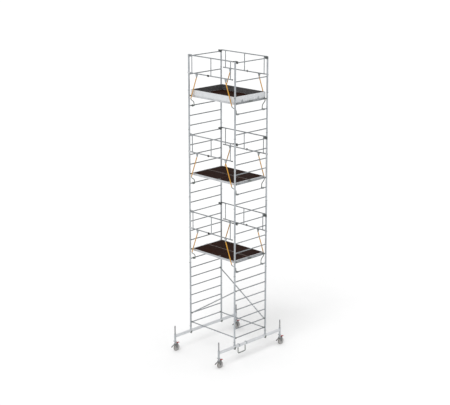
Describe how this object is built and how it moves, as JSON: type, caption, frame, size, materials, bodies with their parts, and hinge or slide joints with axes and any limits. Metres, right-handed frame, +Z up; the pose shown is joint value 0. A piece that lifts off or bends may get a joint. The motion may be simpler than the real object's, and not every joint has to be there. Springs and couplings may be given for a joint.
{
  "type": "mobile scaffold tower",
  "caption": "Tall mobile aluminium scaffold tower with ladder end frames, plywood platforms with hatches, guard rail frames with struts, and adjustable castors on wide base beams.",
  "frame": {"origin": "on the floor, under the middle of the tower", "axes": "+X along the platforms, +Y along the rungs, +Z up"},
  "size_m": [1.9046, 2.82, 8.613],
  "materials": {
    "tube_aluminium": "mill-finished extruded tube, lightly brushed",
    "deck_aluminium": "extruded, satin",
    "ribbed_aluminium": "ribbed extrusion, satin",
    "phenolic_plywood": "dark brown phenolic film with mesh pattern",
    "galvanised_steel": "zinc plated, dull",
    "spindle_steel": "threaded, oiled",
    "black_plastic": "moulded nylon",
    "ochre_paint": "ochre powder coat on the tube, plain zinc on the hook",
    "wheel_grey": "grey non-marking tyre",
    "pedal_red": "moulded"
  },
  "bodies": {
    "tower": {"base_beam_left": "tube_aluminium", "base_beam_right": "tube_aluminium", "beam_clamps": "galvanised_steel", "access_step": "galvanised_steel", "ladder_frames_tier_1": "tube_aluminium", "ladder_frames_tier_2": "tube_aluminium", "ladder_frames_tier_3": "tube_aluminium", "ladder_frames_tier_4": "tube_aluminium", "end_guard_frames": "tube_aluminium", "spigots": "tube_aluminium", "spring_clips": "galvanised_steel", "horizontal_braces": "tube_aluminium", "diagonal_braces": "tube_aluminium", "brace_claws": "galvanised_steel", "deck_frames_level_1": "deck_aluminium", "deck_frames_level_2": "deck_aluminium", "deck_frames_level_3": "deck_aluminium", "deck_panels_level_1": "phenolic_plywood", "deck_panels_level_2": "phenolic_plywood", "deck_panels_level_3": "phenolic_plywood", "toe_boards": "ribbed_aluminium", "guard_frames_level_1": "tube_aluminium", "guard_frames_level_2": "tube_aluminium", "guard_frames_level_3": "tube_aluminium", "guard_fittings": "black_plastic"},
    "hatch_level_1": {"hatch_level_1": "phenolic_plywood"},
    "hatch_level_2": {"hatch_level_2": "phenolic_plywood"},
    "hatch_level_3": {"hatch_level_3": "phenolic_plywood"},
    "strut_1_right_front": {"strut_1_right_front": "ochre_paint"},
    "strut_1_right_back": {"strut_1_right_back": "ochre_paint"},
    "strut_1_left_front": {"strut_1_left_front": "ochre_paint"},
    "strut_1_left_back": {"strut_1_left_back": "ochre_paint"},
    "strut_2_right_front": {"strut_2_right_front": "ochre_paint"},
    "strut_2_right_back": {"strut_2_right_back": "ochre_paint"},
    "strut_2_left_front": {"strut_2_left_front": "ochre_paint"},
    "strut_2_left_back": {"strut_2_left_back": "ochre_paint"},
    "strut_3_right_front": {"strut_3_right_front": "ochre_paint"},
    "strut_3_right_back": {"strut_3_right_back": "ochre_paint"},
    "strut_3_left_front": {"strut_3_left_front": "ochre_paint"},
    "strut_3_left_back": {"strut_3_left_back": "ochre_paint"},
    "castor_spindle_right_front": {"castor_spindle_right_front": "spindle_steel"},
    "castor_nut_right_front": {"castor_nut_right_front": "galvanised_steel"},
    "castor_fork_right_front": {"castor_fork_right_front": "galvanised_steel"},
    "castor_wheel_right_front": {"castor_wheel_right_front": "wheel_grey"},
    "castor_pedal_right_front": {"castor_pedal_right_front": "pedal_red"},
    "castor_spindle_right_back": {"castor_spindle_right_back": "spindle_steel"},
    "castor_nut_right_back": {"castor_nut_right_back": "galvanised_steel"},
    "castor_fork_right_back": {"castor_fork_right_back": "galvanised_steel"},
    "castor_wheel_right_back": {"castor_wheel_right_back": "wheel_grey"},
    "castor_pedal_right_back": {"castor_pedal_right_back": "pedal_red"},
    "castor_spindle_left_front": {"castor_spindle_left_front": "spindle_steel"},
    "castor_nut_left_front": {"castor_nut_left_front": "galvanised_steel"},
    "castor_fork_left_front": {"castor_fork_left_front": "galvanised_steel"},
    "castor_wheel_left_front": {"castor_wheel_left_front": "wheel_grey"},
    "castor_pedal_left_front": {"castor_pedal_left_front": "pedal_red"},
    "castor_spindle_left_back": {"castor_spindle_left_back": "spindle_steel"},
    "castor_nut_left_back": {"castor_nut_left_back": "galvanised_steel"},
    "castor_fork_left_back": {"castor_fork_left_back": "galvanised_steel"},
    "castor_wheel_left_back": {"castor_wheel_left_back": "wheel_grey"},
    "castor_pedal_left_back": {"castor_pedal_left_back": "pedal_red"}
  },
  "joints": [
    {"name": "hatch_hinge_level_1", "type": "hinge", "parent": "tower", "child": "hatch_level_1", "pos_m": [0.42, -0.583, 3.008], "axis": [1, 0, 0], "range_deg": [0, 95]},
    {"name": "hatch_hinge_level_2", "type": "hinge", "parent": "tower", "child": "hatch_level_2", "pos_m": [0.42, -0.583, 5.248], "axis": [1, 0, 0], "range_deg": [0, 95]},
    {"name": "hatch_hinge_level_3", "type": "hinge", "parent": "tower", "child": "hatch_level_3", "pos_m": [0.42, -0.583, 7.488], "axis": [1, 0, 0], "range_deg": [0, 95]},
    {"name": "strut_pivot_1_right_front", "type": "hinge", "parent": "tower", "child": "strut_1_right_front", "pos_m": [0.565, -0.655, 3.53], "axis": [0, 1, 0], "range_deg": [0, 45]},
    {"name": "strut_pivot_1_right_back", "type": "hinge", "parent": "tower", "child": "strut_1_right_back", "pos_m": [0.565, 0.655, 3.53], "axis": [0, 1, 0], "range_deg": [0, 45]},
    {"name": "strut_pivot_1_left_front", "type": "hinge", "parent": "tower", "child": "strut_1_left_front", "pos_m": [-0.565, -0.655, 3.53], "axis": [0, -1, 0], "range_deg": [0, 45]},
    {"name": "strut_pivot_1_left_back", "type": "hinge", "parent": "tower", "child": "strut_1_left_back", "pos_m": [-0.565, 0.655, 3.53], "axis": [0, -1, 0], "range_deg": [0, 45]},
    {"name": "strut_pivot_2_right_front", "type": "hinge", "parent": "tower", "child": "strut_2_right_front", "pos_m": [0.565, -0.655, 5.77], "axis": [0, 1, 0], "range_deg": [0, 45]},
    {"name": "strut_pivot_2_right_back", "type": "hinge", "parent": "tower", "child": "strut_2_right_back", "pos_m": [0.565, 0.655, 5.77], "axis": [0, 1, 0], "range_deg": [0, 45]},
    {"name": "strut_pivot_2_left_front", "type": "hinge", "parent": "tower", "child": "strut_2_left_front", "pos_m": [-0.565, -0.655, 5.77], "axis": [0, -1, 0], "range_deg": [0, 45]},
    {"name": "strut_pivot_2_left_back", "type": "hinge", "parent": "tower", "child": "strut_2_left_back", "pos_m": [-0.565, 0.655, 5.77], "axis": [0, -1, 0], "range_deg": [0, 45]},
    {"name": "strut_pivot_3_right_front", "type": "hinge", "parent": "tower", "child": "strut_3_right_front", "pos_m": [0.565, -0.655, 8.01], "axis": [0, 1, 0], "range_deg": [0, 45]},
    {"name": "strut_pivot_3_right_back", "type": "hinge", "parent": "tower", "child": "strut_3_right_back", "pos_m": [0.565, 0.655, 8.01], "axis": [0, 1, 0], "range_deg": [0, 45]},
    {"name": "strut_pivot_3_left_front", "type": "hinge", "parent": "tower", "child": "strut_3_left_front", "pos_m": [-0.565, -0.655, 8.01], "axis": [0, -1, 0], "range_deg": [0, 45]},
    {"name": "strut_pivot_3_left_back", "type": "hinge", "parent": "tower", "child": "strut_3_left_back", "pos_m": [-0.565, 0.655, 8.01], "axis": [0, -1, 0], "range_deg": [0, 45]},
    {"name": "spindle_slide_right_front", "type": "slide", "parent": "tower", "child": "castor_spindle_right_front", "axis": [0, 0, -1], "range_m": [0, 0.25]},
    {"name": "nut_turn_right_front", "type": "hinge", "parent": "tower", "child": "castor_nut_right_front", "pos_m": [0.9, -1.26, 0.3], "axis": [0, 0, 1], "range_deg": [-5, 7505]},
    {"name": "swivel_right_front", "type": "hinge", "parent": "castor_spindle_right_front", "child": "castor_fork_right_front", "pos_m": [0.9, -1.26, 0.22], "axis": [0, 0, 1], "continuous": true},
    {"name": "wheel_turn_right_front", "type": "hinge", "parent": "castor_fork_right_front", "child": "castor_wheel_right_front", "pos_m": [0.9, -1.21, 0.1], "axis": [1, 0, 0], "continuous": true},
    {"name": "brake_pedal_right_front", "type": "hinge", "parent": "castor_fork_right_front", "child": "castor_pedal_right_front", "pos_m": [0.9, -1.182, 0.234], "axis": [-1, 0, 0], "range_deg": [0, 20]},
    {"name": "spindle_slide_right_back", "type": "slide", "parent": "tower", "child": "castor_spindle_right_back", "axis": [0, 0, -1], "range_m": [0, 0.25]},
    {"name": "nut_turn_right_back", "type": "hinge", "parent": "tower", "child": "castor_nut_right_back", "pos_m": [0.9, 1.26, 0.3], "axis": [0, 0, 1], "range_deg": [-5, 7505]},
    {"name": "swivel_right_back", "type": "hinge", "parent": "castor_spindle_right_back", "child": "castor_fork_right_back", "pos_m": [0.9, 1.26, 0.22], "axis": [0, 0, 1], "continuous": true},
    {"name": "wheel_turn_right_back", "type": "hinge", "parent": "castor_fork_right_back", "child": "castor_wheel_right_back", "pos_m": [0.9, 1.31, 0.1], "axis": [1, 0, 0], "continuous": true},
    {"name": "brake_pedal_right_back", "type": "hinge", "parent": "castor_fork_right_back", "child": "castor_pedal_right_back", "pos_m": [0.9, 1.338, 0.234], "axis": [-1, 0, 0], "range_deg": [0, 20]},
    {"name": "spindle_slide_left_front", "type": "slide", "parent": "tower", "child": "castor_spindle_left_front", "axis": [0, 0, -1], "range_m": [0, 0.25]},
    {"name": "nut_turn_left_front", "type": "hinge", "parent": "tower", "child": "castor_nut_left_front", "pos_m": [-0.9, -1.26, 0.3], "axis": [0, 0, 1], "range_deg": [-5, 7505]},
    {"name": "swivel_left_front", "type": "hinge", "parent": "castor_spindle_left_front", "child": "castor_fork_left_front", "pos_m": [-0.9, -1.26, 0.22], "axis": [0, 0, 1], "continuous": true},
    {"name": "wheel_turn_left_front", "type": "hinge", "parent": "castor_fork_left_front", "child": "castor_wheel_left_front", "pos_m": [-0.9, -1.21, 0.1], "axis": [1, 0, 0], "continuous": true},
    {"name": "brake_pedal_left_front", "type": "hinge", "parent": "castor_fork_left_front", "child": "castor_pedal_left_front", "pos_m": [-0.9, -1.182, 0.234], "axis": [-1, 0, 0], "range_deg": [0, 20]},
    {"name": "spindle_slide_left_back", "type": "slide", "parent": "tower", "child": "castor_spindle_left_back", "axis": [0, 0, -1], "range_m": [0, 0.25]},
    {"name": "nut_turn_left_back", "type": "hinge", "parent": "tower", "child": "castor_nut_left_back", "pos_m": [-0.9, 1.26, 0.3], "axis": [0, 0, 1], "range_deg": [-5, 7505]},
    {"name": "swivel_left_back", "type": "hinge", "parent": "castor_spindle_left_back", "child": "castor_fork_left_back", "pos_m": [-0.9, 1.26, 0.22], "axis": [0, 0, 1], "continuous": true},
    {"name": "wheel_turn_left_back", "type": "hinge", "parent": "castor_fork_left_back", "child": "castor_wheel_left_back", "pos_m": [-0.9, 1.31, 0.1], "axis": [1, 0, 0], "continuous": true},
    {"name": "brake_pedal_left_back", "type": "hinge", "parent": "castor_fork_left_back", "child": "castor_pedal_left_back", "pos_m": [-0.9, 1.338, 0.234], "axis": [-1, 0, 0], "range_deg": [0, 20]}
  ],
  "couplings": [
    {"joint": "nut_turn_right_front", "follows": "spindle_slide_right_front", "rad_per_m": 523.6},
    {"joint": "nut_turn_right_back", "follows": "spindle_slide_right_back", "rad_per_m": 523.6},
    {"joint": "nut_turn_left_front", "follows": "spindle_slide_left_front", "rad_per_m": 523.6},
    {"joint": "nut_turn_left_back", "follows": "spindle_slide_left_back", "rad_per_m": 523.6}
  ]
}
